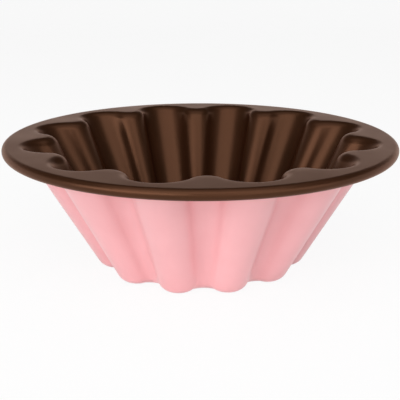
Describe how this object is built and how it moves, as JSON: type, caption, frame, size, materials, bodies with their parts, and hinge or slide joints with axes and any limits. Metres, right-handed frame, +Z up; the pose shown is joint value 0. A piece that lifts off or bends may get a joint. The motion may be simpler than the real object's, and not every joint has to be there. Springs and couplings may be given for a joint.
{
  "type": "brioche mould",
  "caption": "Round fluted brioche mould of pressed steel, brown non-stick inside and pink lacquer outside, with a flat flange and a rolled rim.",
  "frame": {"origin": "middle of the flat underside that the mould rests on", "axes": "+Z up the mould's axis, towards its open mouth; -Y through the middle of one inward rib, the side that faces the camera in the picture"},
  "size_m": [0.22, 0.22, 0.0735],
  "materials": {
    "bare_steel": "cold-rolled sheet and drawn wire, uncoated",
    "brown_nonstick": "satin baked non-stick coat",
    "pink_lacquer": "satin baked lacquer"
  },
  "bodies": {
    "root": {"pressed_steel_shell": "bare_steel", "nonstick_lining": "brown_nonstick", "outer_lacquer": "pink_lacquer", "rim_wire": "bare_steel"}
  },
  "joints": []
}
